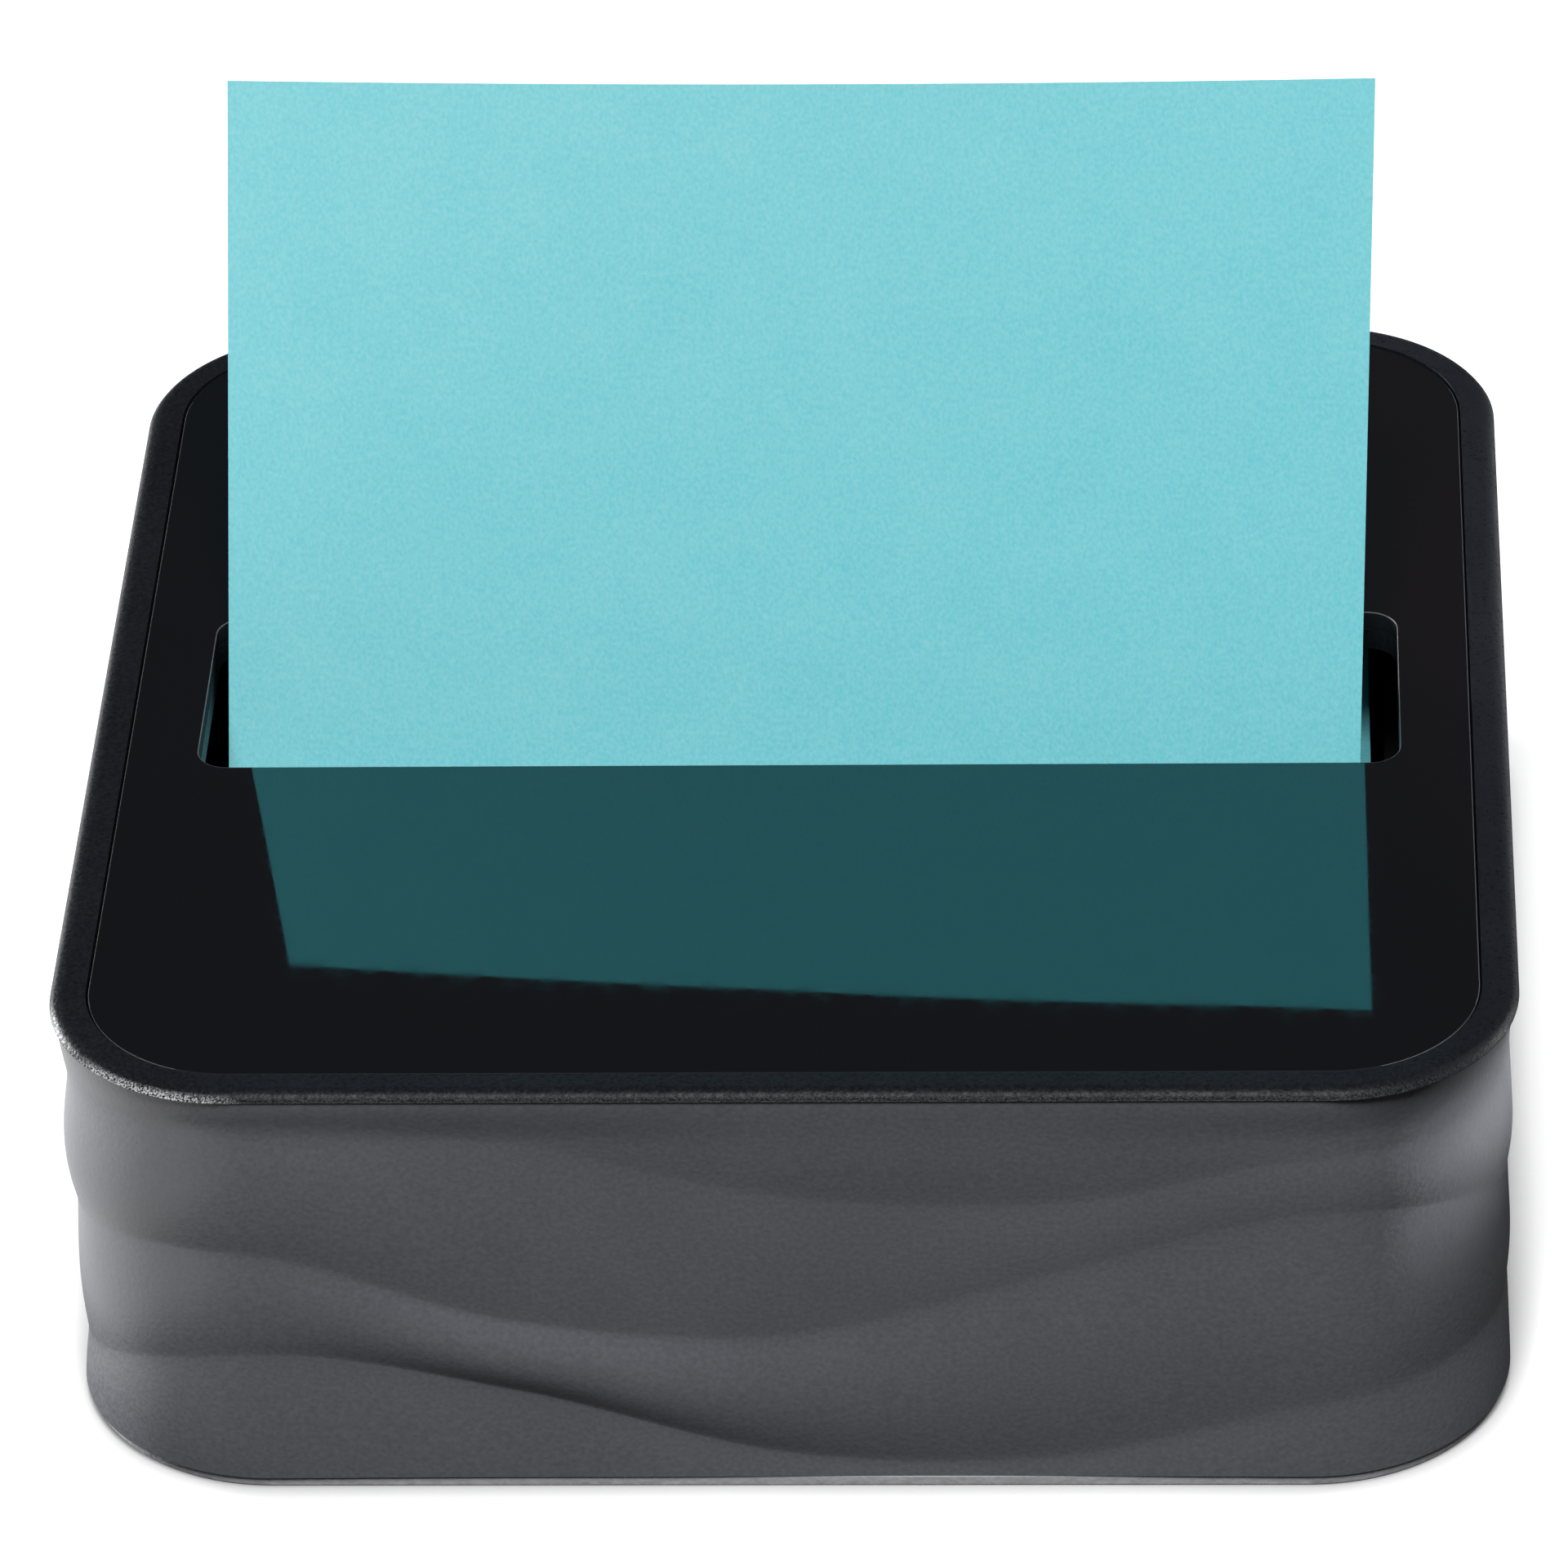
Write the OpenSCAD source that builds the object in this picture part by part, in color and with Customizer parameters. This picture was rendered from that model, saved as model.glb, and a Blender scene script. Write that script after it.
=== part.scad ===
// Weighted desk dispenser for pop-up sticky notes: a wavy moulded body with a steel weight
// in its base, a lift-off cover with a slot, and a note standing up out of the slot.
// The origin is at the middle of the underside, +Z is up and the front faces -Y.

/* [Notes] */
// Side of one square note
note_side = 76.2; // [70:0.1:84]
// Height of the stack of notes left in the dispenser
pad_h = 9; // [6:0.5:14]
// Thickness of the note that stands in the slot
paper_t = 0.15; // [0.1:0.05:0.3]

/* [Standing note] */
// Lean of its left edge towards the back, in degrees from upright
lean_left = 21.6; // [12:0.1:28]
// Lean of its right edge towards the back, in degrees from upright
lean_right = 22.2; // [12:0.1:28]
// Radius of the bend where the note leaves the stack
bend_r = 6; // [4:0.5:8]
// Length that still lies flat on the stack, at the left edge
flat_left = 21.5; // [16:0.1:26]
// Length that still lies flat on the stack, at the right edge
flat_right = 19.6; // [16:0.1:24]
// Where the bend starts at the left edge, measured back from the middle
bend_y_left = -3.6; // [-6:0.1:-2]
// Where the bend starts at the right edge, measured back from the middle
bend_y_right = -8.4; // [-10:0.1:-6]
// Sideways drift of the note over its whole length
drift = 1.8; // [0:0.1:2.4]
// Distance of its free edge's middle to the right of the dispenser's middle
note_x = 0.2; // [-0.4:0.1:0.6]
// Forward bow of the note's middle at its free edge
bow = 0.65; // [0:0.05:1.5]

/* [Body] */
// Wall of the outer shell between the waves
shell_wall = 2.2; // [1.8:0.1:3]
// Corner radius of the shell at its top
shell_r = 12.8; // [12.4:0.1:13.4]
// Corner radius of the shell at its foot
foot_r = 12.8; // [12.4:0.1:15]
// How far the waves stand out of the wall
relief = 0.55; // [0.1:0.05:0.6]
// Thickness of the floor inside the shell
floor_t = 1.5; // [1.2:0.1:3]

/* [Tray] */
// Free space between the notes and each tray wall
pad_gap = 1; // [0.5:0.1:2]
// Wall of the tray
tray_wall = 1.5; // [1:0.1:2]
// Floor of the tray
tray_floor = 1.2; // [1:0.1:2]
// Height of the tray walls above the tray floor
tray_h = 5.5; // [3:0.5:6]
// Space between the tray and the shell
tray_gap = 3.5; // [3:0.05:6]
// Radius of the finger scoops in the tray's side walls
scoop_r = 12; // [8:1:16]

/* [Cover] */
// How far the cover stands out past the shell
overhang = 0.6; // [0.5:0.1:1]
// Corner radius of the cover
cover_r = 12.1; // [11.8:0.05:12.6]
// Width of the satin border round the glossy panel
border_w = 2.35; // [2.1:0.05:3]
// Height of the cover's visible edge
edge_h = 0.65; // [0.4:0.05:1]
// Width of the rounding along the cover's edge
edge_round = 1; // [0.6:0.1:1.2]
// Thickness of the glossy panel
panel_t = 1.3; // [1:0.1:1.4]
// How far the panel lies below the border
panel_sink = 0.1; // [0:0.05:0.2]
// Thickness of the deck that carries the panel
deck_t = 1.6; // [1.2:0.1:2]
// Free height between the notes and the deck
head_room = 9.35; // [8:0.05:12]
// Depth of the skirt that plugs into the shell
skirt_h = 3; // [2:0.5:5]
// Thickness of the skirt
skirt_t = 1.4; // [1:0.1:2]

/* [Slot] */
// Slot length past each end of a note
slot_end_gap = 1.65; // [1.4:0.05:3]
// Width of the slot, front to back
slot_d = 18.3; // [16:0.1:24]
// Corner radius of the slot
slot_r = 2; // [1:0.1:4]
// Distance of the slot's middle behind the cover's middle
slot_y = -0.1; // [-1:0.1:1]

/* [Base] */
// Thickness of the non-slip sheet under the base
grip_t = 0.8; // [0.6:0.1:2]
// How far the non-slip sheet stands out past the shell's foot
grip_proud = 0.1; // [0:0.05:0.5]
// Thickness of the plate that closes the base
base_t = 2.5; // [2.4:0.1:4]
// Thickness of the steel weight
ballast_t = 3.5; // [3:0.1:8]
// Space between the steel weight and the shell
ballast_inset = 4.1; // [2.1:0.1:4.6]

/* [Screws] */
// Distance of each screw in from the weight's edges
screw_inset = 6; // [5:0.1:7]
// Diameter of a screw's shank
screw_d = 2.6; // [2:0.1:3]
// Length of a screw's shank
screw_len = 4.4; // [3:0.1:4.6]
// Diameter of a screw's head
screw_head_d = 5.2; // [4.5:0.1:5.6]
// Height of a screw's head
screw_head_h = 1.4; // [1:0.1:1.5]
// Diameter of the bosses that the screws bite into
boss_d = 7; // [6:0.1:8]

/* [Waves] */
// Heights of the lowest crease round the wall, in percent of the wall's height
crease_low = [6, 5, 19, 22, 13, 10, 18, 30, 32, 21, 10, 11, 24, 32, 26, 13, 8, 13, 32, 23];
// Heights of the middle crease
crease_mid = [38, 54, 69, 54, 35, 37, 53, 66, 61, 43, 37, 50, 64, 67, 53, 37, 34, 48, 59, 42];
// Heights of the highest crease
crease_high = [74, 72, 84, 81, 72, 67, 77, 90, 91, 80, 70, 75, 88, 93, 83, 72, 71, 81, 94, 88];
// Depth of the unseen creases above and below the wall, in percent of its height
crease_outside = 20; // [10:1:40]
// Softness of the creases
crease_soft = 0.2; // [0.05:0.01:0.4]
// How far each wave hangs towards the crease below it, from 1 for an even wave
wave_hang = 0.85; // [0.5:0.05:1]
// Reach of the wave under the lowest crease round the wall, in percent of the full reach
reach_foot = [50, 50, 50, 70, 80, 70, 80, 90, 90, 80, 70, 80, 90, 90, 80, 80, 80, 90, 60, 40];
// Reach of the wave above the lowest crease
reach_low = [100, 70, 45, 45, 80, 90, 80, 70, 80, 90, 90, 80, 70, 80, 90, 80, 60, 45, 50, 115];
// Reach of the wave above the middle crease
reach_mid = [15, 12, 15, 55, 80, 90, 80, 70, 60, 70, 80, 90, 90, 80, 70, 80, 90, 100, 70, 25];
// Reach of the wave above the highest crease
reach_top = [60, 60, 20, 20, 70, 90, 80, 80, 90, 90, 80, 90, 90, 80, 80, 90, 90, 80, 15, 15];

/* [Hidden] */

// Clearance between pieces that slot into each other
fit_gap = 0.15;
// Extra length of a cutter past the face it cuts
cut = 1;
// Free height above the steel weight
ballast_gap = 0.3;
// Width of the lip that the cover's edge rests on, and the height of the step behind it
lip_w = 0.7;
lip_h = 1.5;
// Corner radius inside the tray
tray_r = 1.5;
// Depth of the pocket that hides a screw head
pocket_h = 1.6;
// Clearance all round a screw in its pilot hole, and all round what passes through a plate
pilot_gap = 0.05;
hole_gap = 0.3;
// How far a boss is rooted in the floor above it
boss_root = 0.75;
// Cross recess in a screw head
recess_w = 0.8;
recess_l = 3;
recess_h = 0.8;
// Steps of the wavy wall round its outline and up its height
wall_n = 120;
wall_m = 26;
// Steps of the standing note across its width, round its bend and up its straight part
note_u = 8;
note_bend = 10;
note_up = 6;
$fn = 96;

// Heights, from the table upwards
base_z = grip_t;
ballast_z = base_z + base_t;
floor_z = ballast_z + ballast_t + ballast_gap;
tray_z = floor_z + floor_t;
pad_z = tray_z + tray_floor;
pad_top = pad_z + pad_h;
deck_z = pad_top + paper_t + head_room;
panel_z = deck_z + deck_t;
cover_top = panel_z + panel_t + panel_sink;
shell_top = cover_top - edge_h;
step_z = shell_top - lip_h;
wall_h = shell_top - base_z;

// Widths, from the notes outwards
tray_in = note_side + 2 * pad_gap;
tray_out = tray_in + 2 * tray_wall;
cavity = tray_out + 2 * tray_gap;
shell_side = cavity + 2 * shell_wall;
cover_side = shell_side + 2 * overhang;
cavity_r = shell_r - shell_wall;
lip_side = shell_side - 2 * lip_w;
panel_pocket = cover_side - 2 * border_w;
slot_w = note_side + 2 * slot_end_gap;
ballast_side = cavity - 2 * ballast_inset;
screw_xy = ballast_side / 2 - screw_inset;

// A square with round corners, and a plate made from it
module rounded_rect(w, d, r) {
    square([w - 2 * r, d], center = true);
    square([w, d - 2 * r], center = true);
    for (x = [-1, 1], y = [-1, 1])
        translate([x * (w / 2 - r), y * (d / 2 - r)])
            circle(r);
}

module plate(side, r, z, h) {
    translate([0, 0, z])
        linear_extrude(h)
            rounded_rect(side, side, r);
}

// The cover's upper plate, whose outer edge is rounded over by an arc
module edged_plate(side, r, z, h, round_w) {
    reach = side / 2 - r;
    arc_r = (round_w * round_w + h * h) / (2 * h);
    module edge_profile() {
        square([r - round_w, h]);
        intersection() {
            translate([r - round_w, 0])
                square([round_w, h]);
            translate([r - round_w, h - arc_r])
                circle(arc_r);
        }
    }
    translate([0, 0, z]) {
        linear_extrude(h)
            square(2 * reach, center = true);
        for (a = [0:90:270])
            rotate(a) {
                translate([reach, reach])
                    rotate_extrude(angle = 90)
                        edge_profile();
                translate([reach, reach])
                    rotate([90, 0, 0])
                        linear_extrude(2 * reach)
                            edge_profile();
            }
    }
}

// Value of a list at the share t of the way round the wall, as a smooth closed curve
function at(list, i) = list[(i + len(list)) % len(list)];
function blend(a, b, c, d, f) =
    b + f * (c - a + f * (2 * a - 5 * b + 4 * c - d + f * (3 * (b - c) + d - a))) / 2;
function along(list, t) =
    let (k = t * len(list), i = floor(k))
    blend(at(list, i - 1), at(list, i), at(list, i + 1), at(list, i + 2), k - i) / 100;
function crease(list, t) = base_z + wall_h * along(list, t);

// How far the wall stands out at height z, by the wave between the creases below and above it
function wave(t, z) =
    let (a = crease(crease_low, t), b = crease(crease_mid, t), c = crease(crease_high, t),
         out = crease_outside / 100 * wall_h, k = z < a ? 0 : z < b ? 1 : z < c ? 2 : 3,
         low = [base_z - out, a, b, c][k], high = [a, b, c, shell_top + out][k],
         reach = relief * along([reach_foot, reach_low, reach_mid, reach_top][k], t),
         s = sin(180 * pow((z - low) / (high - low), wave_hang)))
    reach * (sqrt(s * s + crease_soft * crease_soft) - crease_soft)
        / (sqrt(1 + crease_soft * crease_soft) - crease_soft);

// A point of a rounded square's outline at the share t round it, starting at the front's middle
function outline_point(side, r, t, out) =
    let (flat = side - 2 * r, arc = r * PI / 2, quarter = flat + arc,
         d = (t * 4 * quarter + quarter / 2) % (4 * quarter),
         q = floor(d / quarter), e = d - q * quarter - arc / 2,
         turn = 90 / arc * (e < 0 ? e : max(0, e - flat)),
         along = max(0, min(flat, e)) - flat / 2,
         x = along + (r + out) * sin(turn), y = -(side / 2 - r) - (r + out) * cos(turn))
    [x * cos(90 * q) - y * sin(90 * q), x * sin(90 * q) + y * cos(90 * q)];

// The wavy body before it is hollowed out
module wavy_block() {
    ring = wall_n;
    points = [for (j = [0:wall_m], i = [0:ring - 1])
        let (z = base_z + wall_h * j / wall_m, t = i / ring,
             r = foot_r + (shell_r - foot_r) * j / wall_m,
             p = outline_point(shell_side, r, t, wave(t, z)))
        [p[0], p[1], z]];
    sides = [for (j = [0:wall_m - 1], i = [0:ring - 1])
        let (a = j * ring + i, b = j * ring + (i + 1) % ring)
        each [[a, a + ring, b], [b, a + ring, b + ring]]];
    bottom = [for (i = [0:ring - 1]) i];
    top = [for (i = [ring - 1:-1:0]) wall_m * ring + i];
    polyhedron(points, concat(sides, [bottom, top]));
}

// Wavy outer shell with its inner floor, the step for the cover and four screw bosses
module outer_shell() {
    color([0.29, 0.30, 0.32])
    difference() {
        union() {
            difference() {
                wavy_block();
                plate(cavity, cavity_r, tray_z, cover_top);
                plate(cavity, cavity_r, base_z - cut, floor_z - base_z + cut);
                plate(lip_side, shell_r - lip_w, step_z, cover_top);
            }
            at_screws()
                translate([0, 0, ballast_z])
                    cylinder(d = boss_d, h = floor_z - ballast_z + boss_root);
        }
        at_screws()
            translate([0, 0, ballast_z - cut])
                cylinder(d = screw_d + 2 * pilot_gap, h = floor_z - ballast_z + cut);
    }
}

// Lift-off cover: border, tongue, deck and skirt, with the slot through it
module top_cover() {
    color([0.13, 0.13, 0.15])
    difference() {
        union() {
            edged_plate(cover_side, cover_r, shell_top, edge_h, edge_round);
            plate(lip_side - 2 * fit_gap, shell_r - lip_w - fit_gap, step_z + fit_gap,
                  shell_top - step_z - fit_gap);
            plate(cavity - 2 * fit_gap, cavity_r - fit_gap, deck_z - skirt_h,
                  shell_top - deck_z + skirt_h);
        }
        plate(cavity - 2 * fit_gap - 2 * skirt_t, cavity_r - fit_gap - skirt_t,
              deck_z - skirt_h - cut, skirt_h + cut);
        plate(panel_pocket, cover_r - border_w, panel_z, cover_top);
        slot_cutter(deck_z);
    }
}

module slot_cutter(z) {
    translate([0, slot_y, z - cut])
        linear_extrude(cover_top)
            rounded_rect(slot_w, slot_d, slot_r);
}

// Glossy panel bedded in the cover
module gloss_panel() {
    color([0.07, 0.065, 0.07])
    difference() {
        plate(panel_pocket - 2 * fit_gap, cover_r - border_w - fit_gap, panel_z, panel_t);
        slot_cutter(panel_z);
    }
}

// Open tray that keeps the stack of notes square under the slot
module note_tray() {
    color([0.16, 0.16, 0.17])
    difference() {
        plate(tray_out, tray_r + tray_wall, tray_z, tray_floor + tray_h);
        plate(tray_in, tray_r, pad_z, tray_h + cut);
        translate([0, 0, pad_z + scoop_r])
            rotate([0, 90, 0])
                cylinder(r = scoop_r, h = tray_out + 2 * cut, center = true);
    }
}

// Steel weight, bored to pass the bosses
module ballast_plate() {
    color([0.62, 0.63, 0.64])
    difference() {
        plate(ballast_side, cavity_r - ballast_inset, ballast_z, ballast_t);
        at_screws()
            translate([0, 0, ballast_z - cut])
                cylinder(d = boss_d + 2 * hole_gap, h = ballast_t + 2 * cut);
    }
}

// Plate that closes the base, with pockets for the screw heads
module base_plate() {
    color([0.24, 0.24, 0.25])
    difference() {
        plate(cavity - 2 * fit_gap, cavity_r - fit_gap, base_z, base_t);
        at_screws() {
            translate([0, 0, base_z - cut])
                cylinder(d = screw_head_d + 2 * hole_gap, h = pocket_h + cut);
            translate([0, 0, base_z])
                cylinder(d = screw_d + 2 * hole_gap, h = base_t + cut);
        }
    }
}

// Pale non-slip sheet stuck under the base
module grip_pad() {
    color([0.56, 0.56, 0.58])
        plate(shell_side + 2 * grip_proud, foot_r + grip_proud, 0, grip_t);
}

module at_screws() {
    for (x = [-1, 1], y = [-1, 1])
        translate([x * screw_xy, y * screw_xy, 0])
            children();
}

// One base screw with a cross recess in its head
module base_screw(x, y) {
    head_top = base_z + pocket_h;
    color([0.70, 0.70, 0.71])
    translate([x * screw_xy, y * screw_xy, 0])
        difference() {
            union() {
                translate([0, 0, head_top - screw_head_h])
                    cylinder(d = screw_head_d, h = screw_head_h);
                translate([0, 0, head_top])
                    cylinder(d = screw_d, h = screw_len);
            }
            for (a = [0, 90])
                rotate(a)
                    translate([-recess_l / 2, -recess_w / 2, head_top - screw_head_h - cut])
                        cube([recess_l, recess_w, recess_h + cut]);
        }
}

// Stack of notes left in the tray
module note_pad() {
    color([0.50, 0.81, 0.84])
        translate([-note_side / 2, -note_side / 2, pad_z])
            cube([note_side, note_side, pad_h]);
}

// The standing note: flat on the stack, round one bend and up through the slot
function mix(a, b, f) = a + (b - a) * f;
// Length up to each row of points, in order: the flat part, the bend and the straight part
function note_rows(flat, arc) = concat(
    [0, flat / 2],
    [for (k = [0:note_bend]) flat + arc * k / note_bend],
    [for (k = [1:note_up]) mix(flat + arc, note_side, k / note_up)]);
function note_point(u, row, side) =
    let (lean = mix(lean_left, lean_right, u), turn_end = 90 - lean,
         arc = bend_r * turn_end * PI / 180, flat = mix(flat_left, flat_right, u),
         start = mix(bend_y_left, bend_y_right, u), s = note_rows(flat, arc)[row] - flat,
         turn = max(0, min(turn_end, s / arc * turn_end)), rest = max(0, s - arc),
         r = bend_r + paper_t / 2 - side * paper_t / 2,
         free = s > 0 ? s / (note_side - flat) : 0,
         x = (u - 0.5) * note_side + drift * ((s + flat) / note_side - 1) + note_x,
         y = start + min(0, s) + r * sin(turn) + rest * sin(lean) - bow * 4 * u * (1 - u) * free * free,
         z = pad_top + (bend_r + paper_t / 2) + paper_t / 2 - r * cos(turn) + rest * cos(lean))
    [x, y, z];

module top_note() {
    rows = 2 + note_bend + 1 + note_up;
    cols = note_u + 1;
    half = rows * cols;
    points = [for (side = [1, -1], row = [0:rows - 1], k = [0:note_u])
        note_point(k / note_u, row, side)];
    function quad(a, b, c, d) = [[a, b, c], [a, c, d]];
    upper = [for (j = [0:rows - 2], k = [0:note_u - 1])
        let (a = j * cols + k) each quad(a, a + cols, a + cols + 1, a + 1)];
    lower = [for (j = [0:rows - 2], k = [0:note_u - 1])
        let (a = half + j * cols + k) each quad(a, a + 1, a + cols + 1, a + cols)];
    ends = [for (k = [0:note_u - 1], j = [0, rows - 1])
        let (a = j * cols + k, b = a + half)
        each (j == 0 ? quad(a, a + 1, b + 1, b) : quad(a + 1, a, b, b + 1))];
    edges = [for (j = [0:rows - 2], k = [0, note_u])
        let (a = j * cols + k, b = a + half)
        each (k == 0 ? quad(a + cols, a, b, b + cols) : quad(a, a + cols, b + cols, b))];
    color([0.51, 0.82, 0.85])
        polyhedron(points, concat(upper, lower, ends, edges));
}

outer_shell();
top_cover();
gloss_panel();
note_tray();
ballast_plate();
base_plate();
grip_pad();
base_screw(-1, -1);  // base_screw_1
base_screw(1, -1);  // base_screw_2
base_screw(1, 1);  // base_screw_3
base_screw(-1, 1);  // base_screw_4
note_pad();
top_note();
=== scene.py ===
# %% [markdown]
# A weighted desk dispenser for pop-up sticky notes: a satin grey body with soft waves moulded round
# its walls, a black cover with a mirror-gloss panel let into it, and one aqua note standing up out
# of the slot. The construction comes packed as a fixed frame, at its real size. This script gives
# each piece its finished surface: fine curves, softened edges, grain, gloss and paper.

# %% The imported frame
import math
import random

import bmesh
import bpy
from mathutils import Matrix, Vector


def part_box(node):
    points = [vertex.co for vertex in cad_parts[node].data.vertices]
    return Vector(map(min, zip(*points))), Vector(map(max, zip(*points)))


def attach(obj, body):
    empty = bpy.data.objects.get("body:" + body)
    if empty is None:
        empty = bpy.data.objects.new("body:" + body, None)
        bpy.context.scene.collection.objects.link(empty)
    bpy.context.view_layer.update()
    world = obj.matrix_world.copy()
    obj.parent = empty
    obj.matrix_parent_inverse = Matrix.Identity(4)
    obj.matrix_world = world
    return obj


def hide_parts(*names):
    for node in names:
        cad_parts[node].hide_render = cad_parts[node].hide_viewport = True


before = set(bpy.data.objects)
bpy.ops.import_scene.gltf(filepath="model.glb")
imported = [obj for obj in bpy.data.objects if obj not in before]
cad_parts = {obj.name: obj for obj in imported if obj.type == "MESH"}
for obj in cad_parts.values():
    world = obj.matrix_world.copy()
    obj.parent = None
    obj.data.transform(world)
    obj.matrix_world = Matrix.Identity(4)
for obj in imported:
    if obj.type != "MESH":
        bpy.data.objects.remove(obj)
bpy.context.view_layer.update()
MM = 0.001

# %% [markdown]
# Blender works in metres and this product is best thought of in millimetres, so every size below is
# written in millimetres and multiplied by MM once. Heights that the frame already holds are read
# from it, so that each finished piece sits exactly where the solid one does. The cover stands a
# little proud of the shell, and the base plate has a little play in the shell's cavity.

# %% Heights and widths
base_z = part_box("outer_shell")[0].z
shell_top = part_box("outer_shell")[1].z
ballast_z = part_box("ballast_plate")[0].z
tray_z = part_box("note_tray")[0].z
pad_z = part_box("note_pad")[0].z
pad_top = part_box("note_pad")[1].z
panel_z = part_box("gloss_panel")[0].z
panel_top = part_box("gloss_panel")[1].z
cover_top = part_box("top_cover")[1].z
skirt_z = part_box("top_cover")[0].z
cover_side = 2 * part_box("top_cover")[1].x
panel_side = 2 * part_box("gloss_panel")[1].x
tray_side = 2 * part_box("note_tray")[1].x
ballast_side = 2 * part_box("ballast_plate")[1].x
base_side = 2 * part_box("base_plate")[1].x
grip_side = 2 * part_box("grip_pad")[1].x
note_side = 2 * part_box("note_pad")[1].x
COVER_PROUD, BASE_PLAY, FLOOR_T = 1.2 * MM, 0.3 * MM, 1.5 * MM
shell_side = cover_side - COVER_PROUD
cavity_side = base_side + BASE_PLAY
floor_z = tray_z - FLOOR_T
print("cover", round(cover_side / MM, 2), "shell", round(shell_side / MM, 2), "mm")

# %% [markdown]
# The camera stands a little to the right of the product and looks down at it by about 34 degrees,
# through a long lens, so the sides converge only slightly. Its position was worked out from the
# outlines of the product. A camera looks along its own -Z, so its matrix is made from the directions
# to its right, up, and back.

# %% Camera
look_down = math.radians(33.527)
look_left = math.radians(-3.287)
roll = math.radians(-2.062)
ahead = Vector((math.sin(look_left) * math.cos(look_down),
                math.cos(look_left) * math.cos(look_down),
                -math.sin(look_down)))
level_right = ahead.cross(Vector((0, 0, 1))).normalized()
level_up = level_right.cross(ahead)
right = level_right * math.cos(roll) + level_up * math.sin(roll)
up = level_up * math.cos(roll) - level_right * math.sin(roll)

camera_place = (0.02992, -0.545316, 0.385436)
bpy.ops.object.camera_add(location=camera_place)
camera = bpy.context.object
camera.name = "photo_camera"
camera.matrix_world = (Matrix.Translation(camera.location)
                       @ Matrix((right, up, -ahead)).transposed().to_4x4())
camera.data.sensor_width = 36
camera.data.lens = 224.018
camera.data.clip_start = 0.02
camera.data.clip_end = 20
bpy.context.scene.camera = camera
print("camera is", round(camera.location.length, 3), "m from the origin")

# %% [markdown]
# Most of the rigid pieces are plates with round corners, pockets and holes. Each starts as a cube at
# its size and place, whose four upright edges are bevelled into round corners. Other plates are then
# joined to it or cut out of it with a Boolean, and at the end a narrow bevel takes the sharpness off
# every edge, as a mould does. An operator acts on all that is selected, so each step selects by hand.

# %% Helpers for selecting
def select_only(piece):
    bpy.ops.object.select_all(action="DESELECT")
    piece.select_set(True)
    bpy.context.view_layer.objects.active = piece


def edit(piece, mode="VERT"):
    select_only(piece)
    bpy.ops.object.mode_set(mode="EDIT")
    bpy.ops.mesh.select_mode(type=mode)
    bpy.ops.mesh.select_all(action="DESELECT")
    return bmesh.from_edit_mesh(piece.data)


def leave_edit():
    bpy.ops.object.mode_set(mode="OBJECT")


def select_edges(piece, wanted):
    mesh = edit(piece, "EDGE")
    for edge in mesh.edges:
        edge.select_set(wanted(edge))
    bmesh.update_edit_mesh(piece.data)


def select_faces(piece, wanted):
    mesh = edit(piece, "FACE")
    for face in mesh.faces:
        face.select_set(wanted(face))
    bmesh.update_edit_mesh(piece.data)


# %% Plates with round corners
CORNER_STEPS, PEG_SIDES = 32, 64


def is_upright(edge):
    a, b = (v.co for v in edge.verts)
    return abs(a.z - b.z) > 10 * abs(a.x - b.x) + 10 * abs(a.y - b.y)


def plate(name, width, depth, corner, low, high, y=0):
    bpy.ops.object.select_all(action="DESELECT")
    bpy.ops.mesh.primitive_cube_add(size=1, location=(0, y, (low + high) / 2),
                                    scale=(width, depth, high - low))
    piece = bpy.context.object
    piece.name = name
    bpy.ops.object.transform_apply(location=True, rotation=True, scale=True)
    select_edges(piece, is_upright)
    bpy.ops.mesh.bevel(offset=corner, segments=CORNER_STEPS, affect="EDGES")
    leave_edit()
    return piece


def peg(name, diameter, low, high, x, y):
    bpy.ops.object.select_all(action="DESELECT")
    bpy.ops.mesh.primitive_cylinder_add(vertices=PEG_SIDES, radius=diameter / 2, depth=high - low,
                                        location=(x, y, (low + high) / 2))
    piece = bpy.context.object
    piece.name = name
    bpy.ops.object.transform_apply(location=True, rotation=True, scale=True)
    return piece


# %% Joining, cutting and softening
def combine(piece, tool, operation):
    select_only(piece)
    step = piece.modifiers.new("combine", "BOOLEAN")
    step.operation = operation
    step.object = tool
    step.solver = "EXACT"
    bpy.ops.object.modifier_apply(modifier=step.name)
    bpy.data.objects.remove(tool)


def add(piece, tool):
    combine(piece, tool, "UNION")


def cut(piece, tool):
    combine(piece, tool, "DIFFERENCE")


def soften(piece, width, steps=3):
    """Round every sharp edge off by a narrow bevel and shade the curves smooth."""
    select_only(piece)
    edge = piece.modifiers.new("soft edges", "BEVEL")
    edge.width = width
    edge.segments = steps
    edge.limit_method = "ANGLE"
    edge.angle_limit = math.radians(40)
    bpy.ops.object.modifier_apply(modifier=edge.name)
    bpy.ops.object.shade_smooth_by_angle(angle=math.radians(35))
    flat = piece.modifiers.new("flat faces", "WEIGHTED_NORMAL")
    flat.keep_sharp = True
    bpy.ops.object.modifier_apply(modifier=flat.name)


def finish_piece(piece, material, slot, *nodes):
    """Give a piece its finish, let it ride with the body and stand for its solids."""
    piece.data.materials.clear()
    piece.data.materials.append(material)
    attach(piece, "root")
    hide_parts(*nodes)
    print(piece.name, len(piece.data.polygons), "faces")


# %% [markdown]
# A finish is a small tree of nodes. Most of these plastics are one even colour, and what the eye
# reads is the fine grain that the mould leaves. So a Noise texture, far finer than a millimetre,
# drives a Bump node and varies the roughness a little, and it shifts the colour by a hair together
# with a slow second Noise. All of them read Object coordinates, so a pattern stays on its piece.

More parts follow.
